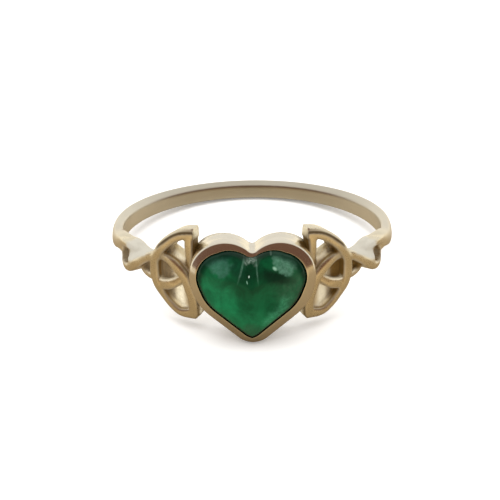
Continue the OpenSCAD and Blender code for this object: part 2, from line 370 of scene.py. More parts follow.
melted = modified(mesh_of("melted", shank_skin, *strand_skins),
                  ("REMESH", {"mode": "VOXEL", "voxel_size": voxel, "adaptivity": 0.0}))
print("melted:", len(melted.polygons), "faces")

# %% [markdown]
# ## The eyes of the two loops
#
# Each knot ends in a loop with a small hole that goes right through, so we pierce it
# with a peg. Drawing the hole into the sections would have needed a split strand. Then
# the whole casting is smoothed lightly, which rounds the inner corners just as the wax
# and the casting do.

# %% Pierce the loops
loop_eye, eye_r = (10.22, 0.24), 0.4  # along the shoulder and height, and radius

def eye_cutter():
    """Two round pegs that point outwards through the middles of the loops."""
    skins = []
    for sign in (1, -1):
        angle = sign * loop_eye[0] / route_r - knot_turn
        out, along = on_ring(angle, 1, 0), on_ring(angle + math.pi / 2, 1, 0)
        rings = [[out * r + along * eye_r * math.cos(a)
                  + Vector((0, 0, loop_eye[1] + eye_r * math.sin(a)))
                  for a in (2 * math.pi * k / 40 for k in range(40))] for r in (7.5, 11)]
        skins.append(loft(rings))
    return put("eye cutter", mesh_of("eye cutter", *skins))

cutter = eye_cutter()
casting = modified(melted,
                   ("BOOLEAN", {"operation": "DIFFERENCE", "object": cutter,
                                "solver": "MANIFOLD"}),
                   ("SMOOTH", {"factor": 0.5, "iterations": 2}))
bpy.data.objects.remove(cutter)
print("pierced:", len(casting.polygons), "faces")

# %% [markdown]
# ## Wear
#
# A ring is rubbed most where it is thick and stands free: on the loops and shoulders.
# There the edges of the real ring have nearly gone, while those of the strands are still
# crisp. A sculpting brush could do this, but we let every point outside the knots drift
# towards the average of its neighbours. The finger hole keeps its size.

# %% Wear the loops and shoulders smooth
def averaged(mesh, values, times, share=1.0):
    """Values of a mesh's points after some rounds of averaging with their neighbours."""
    edges = np.empty(2 * len(mesh.edges), dtype=np.int64)
    mesh.edges.foreach_get("vertices", edges)
    a, b = edges[0::2], edges[1::2]
    n = len(mesh.vertices)
    count = np.bincount(a, minlength=n) + np.bincount(b, minlength=n)
    for _ in range(times):
        around = (np.bincount(a, values[b], n) + np.bincount(b, values[a], n)) / count
        values = values + share * (around - values)
    return values

def vectors(points, key):
    """One vector of every point, as the rows of an array."""
    flat = np.empty(3 * len(points))
    points.foreach_get(key, flat)
    return flat.reshape(-1, 3)

def soft_step(values, start, end):
    """0 at start and 1 at end, with a soft run between them; end may be the lower one."""
    values = np.clip((values - start) / (end - start), 0.0, 1.0)
    return values * values * (3 - 2 * values)

def shoulder_run(co):
    """Distance from the finger's axis, and from the heart along the shoulder."""
    return (np.hypot(co[:, 0], co[:, 1]),
            np.abs(np.arctan2(co[:, 0], -co[:, 1]) + knot_turn) * route_r)

most_wear = 0.6
co = vectors(casting.vertices, "co")
r, along = shoulder_run(co)
worn = (most_wear * soft_step(along, 8.6, 9.3)
        * soft_step(r, finger_r + 0.02, finger_r + 0.12))
co = np.stack([averaged(casting, co[:, k], 6, worn) for k in range(3)], axis=1)
casting.vertices.foreach_set("co", co.ravel())
casting.update()
print("casting:", len(casting.vertices), "points,", len(casting.polygons), "faces")

# %% [markdown]
# ## The heart setting
#
# The setting is a wall of gold round the stone. Its outside has a fine step half way
# back, its front turns forwards into a polished lip that slopes up to the stone, and its
# inside is open behind the stone, so that light comes through. The outline is made of
# arcs, and moving it inwards only shortens their radii, so one function gives every
# line of the setting and the edge of the stone too. We loft these outlines in order,
# from the finger hole over the lip and back to the finger hole.

# %% The heart's outline
heart_w, tip_z = 3.91, 3.43  # half its width, and how far down its tip is
lobe_r, side_r, heart_z = 2.18, 3.5, 1.05  # arcs of lobe and side, and their middles' height
notch_r = 0.34  # the notch is a small hollow arc
side_end = -50  # where the side's arc gives way to the tip's, in degrees
side_more, tip_more = 0.18, 1.18  # the lip is wider there than on the lobes
notch_share, narrows = 0.43, (77, 134)  # and narrower at the notch, between these degrees

def lip_share(angle):
    """How wide and high the lip is on a lobe, as a share: less towards the notch."""
    return blend(1.0, notch_share, clamp((angle - narrows[0]) / (narrows[1] - narrows[0])))

def heart(d):
    """The heart's outline moved inwards by d: x, z and the lip's share at each point."""
    lobe_x, side_x = heart_w - lobe_r, heart_w - side_r
    far = lobe_r + notch_r
    notch_z = heart_z + math.sqrt(far ** 2 - lobe_x ** 2)
    meet = 180 - math.degrees(math.asin((notch_z - heart_z) / far))
    c, s = math.cos(math.radians(side_end)), math.sin(math.radians(side_end))
    tip_r = (c * side_x + s * heart_z + side_r + tip_z * s) / (1 + s)
    def on_arc(cx, cz, r, angle, share):
        a = math.radians(angle)
        return cx + r * math.cos(a), cz + r * math.sin(a), share
    half = ([on_arc(0, notch_z, notch_r + d * lip_share(meet),
                    blend(-90, meet - 180, k / 10), lip_share(meet)) for k in range(11)]
            + [on_arc(lobe_x, heart_z, lobe_r - d * lip_share(a), a, lip_share(a))
               for a in (blend(meet, 2, k / 60) for k in range(1, 61))]
            + [on_arc(side_x, heart_z, side_r - d * (1 + side_more * ease(-a / 20)), a, 1)
               for a in (side_end * k / 30 for k in range(31))]
            + [on_arc(0, tip_r - tip_z, tip_r - d * tip_more,
                      blend(side_end - 3, -90, k / 12), 1) for k in range(13)])
    return half + [(-x, z, share) for x, z, share in reversed(half[1:-1])]

def pointed(x, z):
    """How far the lip's inner edge is drawn down to a point at the tip."""
    return 0.13 * max(0.0, 1 - abs(x) / 0.8) ** 2 if z < 0 else 0.0

print("heart:", len(heart(0)), "points round the outline")

# %% Build the setting
rim_y = finger_r + 2.0  # where the lip starts
lip_w, lip_y = 0.53, rim_y + 0.43
lip_shift = -0.07  # the opening sits a little to the left in the setting
step_in, step_y = 0.14, rim_y - 1.04  # the fine step round the outside
seat_y, window_in = rim_y - 1.0, lip_w + 0.7  # the ledge behind the stone, and its window
corner_steps = 5

def on_bore(x):
    return math.sqrt(finger_r ** 2 - x * x)

def outline_at(d, y):
    """The outline at a depth; in front of the outer wall the lip's share counts."""
    ring = []
    inwards = min(1.0, d / lip_w)
    for x, z, share in heart(d):
        there = on_bore(x) if y is None else min(y, rim_y) + max(0.0, y - rim_y) * share
        ring.append(Vector((x + lip_shift * inwards, -there, z - pointed(x, z) * inwards)))
    return ring

# Rows of how far in, how far from the finger's axis, and rounding: up the outside, over
# the lip, down to the seat and through the window
profile = rounded([(step_in, rim_y - 1.9, 0.0), (step_in, step_y, 0.04),
                   (0.05, rim_y - 0.98, 0.04), (0.0, rim_y - 0.08, 0.06),
                   (0.05, rim_y + 0.03, 0.07), (lip_w - 0.11, lip_y - 0.05, 0.07),
                   (lip_w - 0.03, lip_y, 0.05), (lip_w, lip_y - 0.12, 0.05),
                   (lip_w, seat_y, 0.0), (window_in, seat_y, 0.05),
                   (window_in, rim_y - 1.6, 0.0)], corner_steps)[corner_steps:-corner_steps]
rings = ([outline_at(0.16, None)] + [outline_at(d, y) for d, y in profile]
         + [outline_at(window_in, None)])
setting_mesh = mesh_of("heart setting", loft(rings, round_trip=True))
print("setting:", len(rings), "outlines,", len(setting_mesh.polygons), "faces")

# %% [markdown]
# ## The emerald
#
# The stone is a cabochon: no facets, but a dome with a flat back. Every ring of its dome
# is the heart's outline drawn in towards the middle, while the height follows a quarter
# circle. The notch of the heart then runs up the dome by itself, and one formula deepens
# it into the soft groove that a cutter grinds into a puffed heart.

# %% Build the stone
stone_gap, dome_h = 0.04, 1.05
edge_y = lip_y - 0.12  # the dome starts just under the lip
back_y, middle_z = rim_y - 0.96, 0.25  # its back, and the point it is drawn in to
groove_depth, groove_start, groove_run = 0.30, 0.55, 1.7
dome_turns = [math.radians(90 * k / 48) for k in range(48)]

def groove(x, z):
    """How deep the notch's groove runs into the dome at a place of the stone."""
    up = (z - groove_start) / groove_run
    wide = blend(0.16, 0.52, clamp(up))
    return groove_depth * ease(up) * max(0.0, 1 - (abs(x) / wide) ** 1.3)

def stone_ring(f, y, dome=True):
    """The stone's outline drawn in to a share f, on the dome or on the flat back."""
    ring = []
    for x, z, share in heart(lip_w + stone_gap):
        x, z = x * f, middle_z + (z - pointed(x, z) - middle_z) * f
        drop = (edge_y - rim_y) * (1 - share) * f ** 4 + groove(x, z) * (1 - f ** 6)
        ring.append(Vector((x + lip_shift, -(y - drop if dome else y), z)))
    return ring

stone_mesh = mesh_of("emerald", loft(
    [stone_ring(0.97, back_y, False), stone_ring(1, back_y + 0.06, False)]
    + [stone_ring(math.cos(a), edge_y + dome_h * math.sin(a)) for a in dome_turns]))
print("stone:", len(stone_mesh.polygons), "faces")

# %% [markdown]
# ## What a vertex knows about its place
#
# Cast gold isn't the same all over. The floors under the knots were never reached by the
# polishing wheel and are still sandy. The shank is satin. Edges get a painted highlight,
# and narrow corners get painted shade. We could paint masks by hand, but the shape already
# knows all this: a point whose neighbours lie below it is an edge, and one that sees
# little of the room is a corner. The last takes a short fan of rays from every point of
# the knots.

# %% How bent and how hidden each point is
def bends(mesh, reach):
    """How convex each point is: above 0 on an edge, below 0 in a corner, in 1/mm."""
    co, normal = vectors(mesh.vertices, "co"), vectors(mesh.vertex_normals, "vector")
    around = np.stack([averaged(mesh, co[:, k], 1) for k in range(3)], axis=1)
    return averaged(mesh, -2 * ((around - co) * normal).sum(axis=1) / reach ** 2, 3)

def hidden(mesh, near, reach=1.3, rays=16):
    """How much of the room each point of the knots can't see, as gold is in the way."""
    points, faces = [], []
    for other in near:
        faces += [[len(points) + k for k in face.vertices] for face in other.polygons]
        points += [v.co.copy() for v in other.vertices]
    tree = BVHTree.FromPolygons(points, faces)
    lowest, golden_turn = 0.15, 2.4  # how steep the lowest ray is, and the turn between two
    knot_end, lift = 12.2, 0.03  # where the knots end, and how far off the gold a ray starts
    fan = []
    for k in range(rays):
        up = blend(lowest, 1, (k + 0.5) / rays)
        flat = math.sqrt(1 - up * up)
        fan.append((flat * math.cos(golden_turn * k), flat * math.sin(golden_turn * k), up))
    values = np.zeros(len(mesh.vertices))
    for i, v in enumerate(mesh.vertices):
        x, y, _ = v.co
        in_hole = math.hypot(x, y) < finger_r + 0.04
        if in_hole or abs(math.atan2(x, -y)) > knot_end / route_r:
            continue
        n = v.normal
        a = n.orthogonal().normalized()
        b = n.cross(a)
        start = v.co + n * lift
        values[i] = sum(tree.ray_cast(start, a * p + b * q + n * r, reach)[0] is not None
                        for p, q, r in fan) / rays
    return values

hidden_mask = averaged(casting, hidden(casting, [casting, setting_mesh]), 3)
bend = bends(casting, voxel)
print("bend from", round(bend.min(), 2), "to", round(bend.max(), 2), "per mm;",
      int((hidden_mask > 0.3).sum()), "hidden points")

# %% [markdown]
# ## The masks of the cast gold
#
# Now a point's place decides its finish and the light and shade painted on it. Floors are
# the low places between the strands: sandy and pale, and their pale colour is partly
# painted light. Deep places get painted shade in dark brown: the ends of the floors, the
# walls of the strands, the loops' eyes and the chamfer over the arch, painted dark as a
# reflection of the ceiling. Ledges on the lower strand and the brushed slope catch the
# light from above: the ledges get a painted highlight, and the slope a grey-tan matt
# colour of painted shading. Places are in millimetres, and the way a point looks is a
# share of outwards or upwards. All masks end softly, because a polishing wheel leaves no
# sharp border. The material reads them as attributes.

# %% Floors, slope and ledges
def between(values, start, full, fade, end):
    """1 from full to fade, and 0 before start and after end."""
    return soft_step(values, start, full) * soft_step(values, end, fade)

def from_rows(rows, column):
    """A column of a table, read at every point's distance along the shoulder."""
    return np.interp(along, [row[0] for row in rows], [row[column] for row in rows])

co, normal = vectors(casting.vertices, "co"), vectors(casting.vertex_normals, "vector")
r, along = shoulder_run(co)
outward = (normal[:, 0] * co[:, 0] + normal[:, 1] * co[:, 1]) / r
upward, height = normal[:, 2], co[:, 2]
right_side = co[:, 0] > 0
# painted shade: the floors on the right are painted darker than those on the left
right_floor_shade = 0.75  # those on the right are less bright

low = soft_step(r, 9.45, 9.29) * soft_step(along, 9.2, 8.6)
over_slope = height - from_rows(SLOPE, 1)  # above the slope's front edge
on_slope = soft_step(over_slope, -0.2, -0.05) * soft_step(along, 7.0, 7.3)
# the brushed slope: a matt finish, painted with grey-tan shading
brushed_and_shaded = (soft_step(over_slope, 0.06, 0.18) * between(along, 7.3, 7.6, 9.6, 10.0)
           * soft_step(r, 8.66, 8.71))
foot = soft_step(hidden_mask, 0.10, 0.22) * soft_step(outward, -0.25, 0.05)
floors = (low * np.maximum(soft_step(outward, 0.25, 0.55), foot)
          * (1 - on_slope) * np.where(right_side, right_floor_shade, 1.0))
# painted highlight: the ledges of the lower strand are painted pale like the floors
ledge_highlights = (soft_step(upward, 0.3, 0.5) * between(height, -1.1, -0.9, 0.15, 0.25)
          * soft_step(r, 9.3, 9.4) * between(along, 4.6, 4.9, 7.5, 7.8))
print("floors:", int((floors > 0.5).sum()), "ledges:", int((ledge_highlights > 0.5).sum()), "points")

# %% Deep places, painted in shade
# painted shade: the corners on the left are painted less dark than those on the right
left_corners = 0.82  # those on the left are less dark

in_lens = soft_step(along, 5.1, 5.8)
far_floor = (low * soft_step(along, 5.3, 6.0) * soft_step(hidden_mask, 0.12, 0.32)
             * (1 - on_slope))
corners = np.maximum.reduce([soft_step(hidden_mask, 0.08, 0.42) * in_lens, far_floor,
                             soft_step(hidden_mask, 0.5, 0.85)])
corners *= np.where(right_side, 1.0, left_corners)
by_heart = soft_step(hidden_mask, 0.35, 0.65) * soft_step(along, 4.1, 3.9)
eyes = soft_step(hidden_mask, 0.06, 0.22) * soft_step(along, 9.75, 9.9)
walls = (soft_step(outward, 0.7, 0.45) * between(r, 9.32, 9.42, 9.6, 9.72)
         * between(along, 3.9, 4.1, 7.1, 7.4) * soft_step(hidden_mask, 0.12, 0.32))
arch_face = finger_r + from_rows(ARCH[:5], 2)  # the face of the arch's upper run
# painted reflection: the chamfer over the arch is painted dark, where it mirrors the ceiling
over_arch = (between(upward, 0.08, 0.18, 0.8, 0.9) * soft_step(height, 1.3, 1.6)
             * soft_step(along, 6.5, 6.1) * soft_step(r - arch_face, -0.11, -0.06))
# painted shade: corners, floor ends, strand walls, eyes and the arch's line go dark
painted_shade = np.maximum.reduce([corners, by_heart, 0.55 * eyes, 0.9 * walls]) * (1 - ledge_highlights)
painted_shade = np.maximum(painted_shade, over_arch) ** 0.8
print("deep:", int((painted_shade > 0.5).sum()), "points")

# %% Keep the masks
def remember(mesh, name, values):
    mesh.attributes.new(name, "FLOAT", "POINT").data.foreach_set("value", values)

# the first mask holds the sandy floors, partly painted light, and the ledges' highlight
for name, mask in (("sandy_and_lit", np.maximum(floors, 0.6 * ledge_highlights)),
                   ("painted_shade", averaged(casting, painted_shade, 3)),
                   ("satin", soft_step(along, 10.8, 13.3)),
                   ("brushed_and_shaded", averaged(casting, brushed_and_shaded, 2) * (1 - eyes)),
                   ("line", over_arch),
                   # darker towards the back of the shank
                   ("worn", soft_step(along, 17, 26)),
                   # painted highlight: the edge mask lightens convex edges
                   ("edge", np.clip(bend / 6, 0, 1))):
    remember(casting, name, mask)
    print(name, "covers", round(100 * mask.mean(), 1), "% of the points")

# %% [markdown]
# ## The dark edge of the stone
#
# Near its girdle a cabochon looks almost black, since light that enters there goes off
# sideways. The line is widest at the tops of the two lobes and fades at the notch. A
# Fresnel node would darken every steep place of the dome, so we keep a mask instead.

# %% The stone's rim
line_w, lobe_more = 0.07, 0.06  # the line's width as a share, and what the lobes add
rim = []
for f in [1.0, 1.0] + [math.cos(a) for a in dome_turns]:
    for x, z, _ in heart(lip_w):
        wide = line_w + lobe_more * ease((z - 0.6) / 1.2) * ease((abs(x) - 0.3) / 0.5)
        shown = 0.3 + 0.7 * ease(abs(x) / 0.5 + (z < 0))
        rim.append(ease((f - (1 - 1.3 * wide)) / wide) * shown)
remember(stone_mesh, "rim", rim)
print("rim:", sum(v > 0.5 for v in rim), "of", len(rim), "points are dark")

# %% [markdown]
# ## Laying the pieces down
#
# So far the ring stands upright in millimetres. Here each mesh is laid down in metres,
# made a piece that rides on the part, and shown in place of the CAD solid. The gold is
# one casting on the real ring; we keep shank and setting as two meshes only because
# their finishes differ.

# %% Lay the pieces down in place of the CAD solids
def piece_of(name, mesh):
    mesh.materials.clear()
    mesh.transform(lay_down)
    mesh.name = name
    mesh.shade_smooth()
    piece = put(name, mesh)
    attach(piece, "root")
    return piece

knots = piece_of("cast_shank_and_knots", casting)
setting = piece_of("heart_setting", setting_mesh)
stone = piece_of("puffed_heart_emerald", stone_mesh)
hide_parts("gold_ring")
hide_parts("gold_ring")
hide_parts("emerald")
for piece in (knots, setting, stone):
    print(piece.name, "is", [round(v * 1000, 2) for v in piece.dimensions], "mm")

# %% [markdown]
# ## Node groups for the gold
#
# Every gold finish shows a fine grain, so the grain is a node group: built once, placed
# in each material with its own size. It reads the object's own coordinates, which don't
# stretch, and its input is a size in millimetres, because that is how a maker thinks.

# %% Helpers for shader nodes
def feed(tree, node, inputs):
    """Give a node's inputs their values: numbers, colours or outputs of other nodes."""
    for label, value in inputs.items():
        if isinstance(value, bpy.types.NodeSocket):
            tree.links.new(value, node.inputs[label])
        else:
            node.inputs[label].default_value = value

def add_node(tree, kind, inputs, **settings):
    """A new node with its settings and inputs; gives its outputs."""
    made = tree.nodes.new("ShaderNode" + kind)
    for key, value in settings.items():
        setattr(made, key, value)
    feed(tree, made, inputs)
    return made.outputs

def math_node(tree, operation, *values, clamp=False):
    """A Math node whose inputs are sockets or numbers; gives its output socket."""
    return add_node(tree, "Math", dict(enumerate(values)), operation=operation,
                    use_clamp=clamp)[0]

def mix_colour(tree, share, a, b, how="MIX"):
    return add_node(tree, "Mix", {"Factor": share, "A": a, "B": b}, data_type="RGBA",
                    blend_type=how)["Result"]

def noise(tree, scale, detail=3.0, rough=0.5, distortion=0.0, output="Fac"):
    """Noise on the object's own coordinates; scale is in lumps per metre."""
    place = add_node(tree, "TexCoord", {})["Object"]
    return add_node(tree, "TexNoise", {"Vector": place, "Scale": scale, "Detail": detail,
                                       "Roughness": rough, "Distortion": distortion})[output]

def new_group(name, inputs, outputs):
    """An empty node group; inputs are rows of a label, a kind and a starting value."""
    tree = bpy.data.node_groups.new(name, "ShaderNodeTree")
    for label, kind, value in inputs:
        socket = tree.interface.new_socket(label, in_out="INPUT",
                                           socket_type="NodeSocket" + kind)
        socket.default_value = value
    for label, kind in outputs:
        tree.interface.new_socket(label, in_out="OUTPUT", socket_type="NodeSocket" + kind)
    given = tree.nodes.new("NodeGroupInput").outputs
    return tree, given, tree.nodes.new("NodeGroupOutput")

print("helpers: feed, add_node, math_node, mix_colour, noise, new_group")

# %% The grain group
grain_group, asked, answer = new_group(
    "grain", [("Size in mm", "Float", 0.05), ("Patch size in mm", "Float", 1.0)],
    [("Grain", "Float"), ("Patches", "Float")])
for size, label in (("Size in mm", "Grain"), ("Patch size in mm", "Patches")):
    lumps_per_metre = math_node(grain_group, "DIVIDE", 1000, asked[size])
    feed(grain_group, answer, {label: noise(grain_group, lumps_per_metre)})
print("grain group:", len(grain_group.nodes), "nodes")

# %% [markdown]
# ## The colour of gold
#
# Both finishes share one pale yellow gold. Its colour drifts in slow clouds, turns brown
# with painted shade in the corners, and is lightest with a painted highlight on the
# edges. A second group mixes this, so that the alloy is chosen once for the whole ring.

# %% The gold colour group
# the second colour is the dark brown of the painted shade in corners
pale_gold, painted_shade_gold = (0.80, 0.75, 0.62, 1), (0.19, 0.108, 0.026, 1)
# painted highlight: edges are mixed towards this light gold, by up to this share
edge_highlight_gold, edge_highlight_share = (0.93, 0.88, 0.74, 1), 0.5

tone_group, asked, answer = new_group(
    "gold tone",
    [("Gold", "Color", pale_gold), ("Painted shade gold", "Color", painted_shade_gold),
     ("Patches", "Float", 0.5), ("Corner", "Float", 0.0), ("Edge", "Float", 0.0),
     ("Strength", "Float", 0.3)],
    [("Tone", "Color")])
cloud = math_node(tone_group, "MULTIPLY", asked["Patches"], asked["Strength"])
# the Corner input paints shade: it turns the gold towards the dark brown
depth = math_node(tone_group, "ADD", cloud, asked["Corner"], clamp=True)
body = mix_colour(tone_group, depth, asked["Gold"], asked["Painted shade gold"])
# painted highlight on the edges
edge_highlight = math_node(tone_group, "MULTIPLY", asked["Edge"], edge_highlight_share)
feed(tone_group, answer, {"Tone": mix_colour(tone_group, edge_highlight, body, edge_highlight_gold)})
print("gold colour group:", len(tone_group.nodes), "nodes")

# %% [markdown]
# ## Two finishes
#
# The casting is satin metal with a fine grain, darker towards the back. Sand-blasted
# floors and the brushed slope scatter light rather than mirror it: the masks turn the
# metal into a matt surface there, which is cheaper and calmer than a forest of tiny
# bumps. The floors' pale colour is partly their own and partly painted light, and the
# slope's grey-tan colour is painted shading. The line over the arch is painted dark as
# a reflection of the ceiling. The setting is polished, so its only texture is a faint
# wave.

# %% Helpers for the materials
def new_material(name):
    """A material, its node tree and its Principled shader."""
    material = bpy.data.materials.new(name)
    material.use_nodes = True
    return material, material.node_tree, material.node_tree.nodes["Principled BSDF"]

def use_group(tree, group, inputs):
    return add_node(tree, "Group", inputs, node_tree=group)

def step_up(tree, value, start, end):
    """0 at start and 1 at end, with a soft run between them."""
    return add_node(tree, "MapRange", {"Value": value, "From Min": start, "From Max": end},
                    interpolation_type="SMOOTHSTEP")["Result"]

def grey(tree, value):
    """A grey colour from one value."""
    return add_node(tree, "CombineColor", {0: value, 1: value, 2: value})[0]

def attribute(tree, name):
    return add_node(tree, "Attribute", {}, attribute_name=name)["Fac"]

bump_depth = 0.00006

def bumped(tree, height):
    return add_node(tree, "Bump", {"Height": height, "Strength": 0.5,
                                   "Distance": bump_depth})["Normal"]

print("bumps are up to", round(bump_depth * 1000, 3), "mm deep")

# %% Cast gold
knot_gold = (0.80, 0.72, 0.53, 1)
# the floors' pale colour: partly the sand-blasted gold's own, partly painted light
floor_gold = (1.0, 0.91, 0.68, 1)
# painted shading: the slope's grey-tan colour stands for the light it catches from above
slope_gold = (0.57, 0.545, 0.47, 1)
matt_floor, matt_corner, matt_slope = 0.95, 0.75, 0.8
# the arch's line is darkened as a painted reflection of the dark ceiling
back_dull, line_shade = -0.28, -0.6  # how much darker the back and the arch's line are
sand_lumps, fine_lumps = 2.5, 0.08  # how high the sand and the fine grain stand
knot_rough, satin_more, matt_more, grain_more = 0.24, 0.12, 0.25, 0.08

def cast_gold():
    material, tree, shader = new_material("cast gold")
    sandy_and_lit, satin = attribute(tree, "sandy_and_lit"), attribute(tree, "satin")
    edge, painted_shade = attribute(tree, "edge"), attribute(tree, "painted_shade")
    brushed_and_shaded = attribute(tree, "brushed_and_shaded")
    fine = use_group(tree, grain_group, {"Size in mm": 0.06, "Patch size in mm": 1.6})
    sand = use_group(tree, grain_group, {"Size in mm": 0.17, "Patch size in mm": 0.6})
    # painted shade turns the gold brown and matt in corners and on walls
    shallow = math_node(tree, "SUBTRACT", 1, painted_shade)
    # painted light: floors and ledges are mixed towards the pale floor colour and made matt
    lit = math_node(tree, "MULTIPLY", sandy_and_lit, shallow)
    tone = use_group(tree, tone_group, {
        "Gold": mix_colour(tree, satin, knot_gold, pale_gold),
        "Patches": fine["Patches"], "Corner": painted_shade,
        "Edge": math_node(tree, "MULTIPLY", edge, shallow), "Strength": 0.15})
    dull = math_node(tree, "MULTIPLY_ADD", attribute(tree, "worn"), back_dull, 1.0)
    dull = math_node(tree, "MULTIPLY_ADD", attribute(tree, "line"), line_shade, dull)
    colour = mix_colour(tree, 1.0, tone["Tone"], grey(tree, dull), "MULTIPLY")
    colour = mix_colour(tree, lit, colour, floor_gold)
    colour = mix_colour(tree, brushed_and_shaded, colour, slope_gold)
    matt = math_node(tree, "MULTIPLY", lit, matt_floor)
    for mask, share in ((painted_shade, matt_corner), (brushed_and_shaded, matt_slope)):
        matt = math_node(tree, "MAXIMUM", matt, math_node(tree, "MULTIPLY", mask, share))
    rough = math_node(tree, "MULTIPLY_ADD", satin, satin_more, knot_rough)
    rough = math_node(tree, "MULTIPLY_ADD", matt, matt_more, rough)
    rough = math_node(tree, "MULTIPLY_ADD", fine["Grain"], grain_more, rough)
    lumps = math_node(tree, "MULTIPLY", sand["Grain"],
                      math_node(tree, "MULTIPLY", sandy_and_lit, sand_lumps))
    height = math_node(tree, "MULTIPLY_ADD", fine["Grain"], fine_lumps, lumps)
    feed(tree, shader, {
        "Base Color": colour, "Metallic": math_node(tree, "SUBTRACT", 1, matt),
        "Roughness": rough, "Specular IOR Level": 0.1, "Normal": bumped(tree, height)})
    return material

knots.data.materials.append(cast_gold())
print("cast gold has", len(knots.data.materials[0].node_tree.nodes), "nodes")

# %% Polished gold
lip_rough, lip_grain = 0.12, 0.10  # the polish, and what the grain takes off it
wave_h, grain_h = 0.5, 0.04  # how high the slow wave and the grain stand

def polished_gold():
    material, tree, shader = new_material("polished gold")
    fine = use_group(tree, grain_group, {"Size in mm": 0.05, "Patch size in mm": 1.2})
    tone = use_group(tree, tone_group, {"Patches": fine["Patches"], "Strength": 0.2})
    grain = math_node(tree, "MULTIPLY", fine["Grain"], grain_h)
    height = math_node(tree, "MULTIPLY_ADD", fine["Patches"], wave_h, grain)
    feed(tree, shader, {
        "Base Color": tone["Tone"], "Metallic": 1,
        "Roughness": math_node(tree, "MULTIPLY_ADD", fine["Grain"], lip_grain, lip_rough),
        "Normal": bumped(tree, height)})
    return material

setting.data.materials.append(polished_gold())
print("polished gold has", len(setting.data.materials[0].node_tree.nodes), "nodes")

# %% [markdown]
# ## The emerald's colour
#
# An emerald isn't one green. Light that goes in at the upper edge comes out low on the
# left, thin veils inside it show as pale clouds, and the middle stays nearly black. The
# glow on the left and the black middle are painted light and shade, and the clouds on
# the lobes also paint the reflections of windows. We could ray trace the inside, but
# the veils would still have to be made. So the colour is a list of soft patches, each
# with a place, a size and a colour, as a painter of miniatures would lay them on. One
# node group draws a patch: its border is pushed about by a slow noise, because nothing
# inside a stone has a drawn outline.

# %% The patch group
def vector_node(tree, operation, *values):
    """A Vector Math node; a length comes out as a value, all else as a vector."""
    made = add_node(tree, "VectorMath", dict(enumerate(values)), operation=operation)
    return made["Value" if operation == "LENGTH" else "Vector"]

patch_group, asked, answer = new_group(
    "soft patch",
    [("Place", "Vector", (0, 0, 0)), ("Middle", "Vector", (0, 0, 0)),
     ("Size", "Vector", (0.001, 1, 0.001)), ("Turn", "Float", 0.0),
     ("Softness", "Float", 0.5)],
    [("Mask", "Float")])
from_middle = vector_node(patch_group, "SUBTRACT", asked["Place"], asked["Middle"])
turned = add_node(patch_group, "VectorRotate",
                  {"Vector": from_middle, "Angle": asked["Turn"]}, rotation_type="Y_AXIS")[0]
away = vector_node(patch_group, "LENGTH",
                   vector_node(patch_group, "DIVIDE", turned, asked["Size"]))
inner = math_node(patch_group, "SUBTRACT", 1, asked["Softness"])
outer = math_node(patch_group, "ADD", 1, asked["Softness"])
feed(patch_group, answer, {"Mask": step_up(patch_group, away, outer, inner)})
print("patch group:", len(patch_group.nodes), "nodes")

# %% [markdown]
# ## The list of patches
#
# The painted glow and the veils come first, then the painted shade of the dark middle,
# then the small bright things: the two clouds in the lobes, pale veils with painted
# reflections in them, a feather under the notch with a painted highlight and its two
# arms, and three sparks, which are painted glints.
# Each row says where a patch is in the stone and how strong it is. The fine veils break
# the large patches up, while the small ones stay whole.

# %% The emerald's patches
# x and z in mm, half width and half height, turn in degrees, softness, colour, strength,
# and how much the fine veils break the patch up
PATCHES = [
    # painted light: the glow that comes out low on the left and at the bottom
    (-2.2, 0.2, 1.1, 1.8, -28, .6, (.012, .175, .065), .95, .2),
    (-1.5, -0.8, 0.7, 0.7, -30, .7, (.012, .250, .088), .75, .2),
    (-0.3, -1.6, 1.6, 0.8, 0, .6, (.012, .145, .052), .85, .2),
    (-0.1, -2.4, 0.7, 0.5, 0, .6, (.024, .095, .040), .80, .0),
    (2.5, 0.5, 1.0, 1.6, 20, .6, (.030, .085, .042), .85, .5),
    (1.5, -1.1, 1.1, 0.34, 53, .8, (.050, .260, .125), .80, .6),
    # painted shade: the dark middle and the dark tops of the lobes
    (-0.1, 1.1, 1.9, 0.8, 0, .6, (.003, .046, .016), .80, .0),
    (-0.2, 2.1, 0.9, 0.9, 0, .5, (.003, .030, .012), .90, .3),
    (1.5, 1.3, 1.0, 0.45, -8, .5, (.002, .018, .008), .92, .0),
    (-1.9, 2.7, 1.5, 0.4, 14, .6, (.010, .050, .038), .80, .2),
    # the left lobe's cloud: partly a pale veil, partly a painted reflection of a window
    (-2.15, 2.1, 0.95, 0.50, -14, .25, (.046, .150, .100), .92, .4),
    # painted shade
    (-0.95, 1.9, 0.35, 0.55, 10, .5, (.004, .040, .018), .85, .2),
    (1.3, 2.7, 1.2, 0.3, -8, .7, (.014, .075, .045), .70, .4),
    # the right lobe's cloud: partly a pale veil, partly a painted reflection of a window
    (2.0, 2.12, 0.80, 0.5, -38, .22, (.095, .225, .150), .90, .45),
    # a painted glint
    (1.36, 1.90, 0.13, 0.08, -35, .7, (.300, .520, .380), .80, .0),
    (-0.62, 2.0, 0.06, 0.75, -18, .7, (.110, .230, .160), .60, .5),
    (0.26, 1.8, 0.05, 0.60, 6, .7, (.100, .220, .150), .60, .5),
    # the feather under the notch, brightened by a painted highlight
    (-0.13, 2.12, 0.40, 0.17, 0, .5, (.330, .430, .360), .85, .8),
    # painted glints: the three sparks
    (-0.22, 1.40, 0.045, 0.055, 0, .5, (.550, .720, .600), .90, .0),
    (-0.34, 1.13, 0.035, 0.10, 15, .5, (.200, .400, .280), .80, .0),
    (1.12, 2.60, 0.06, 0.06, 0, .5, (.400, .600, .480), .80, .0)]
print(len(PATCHES), "patches")

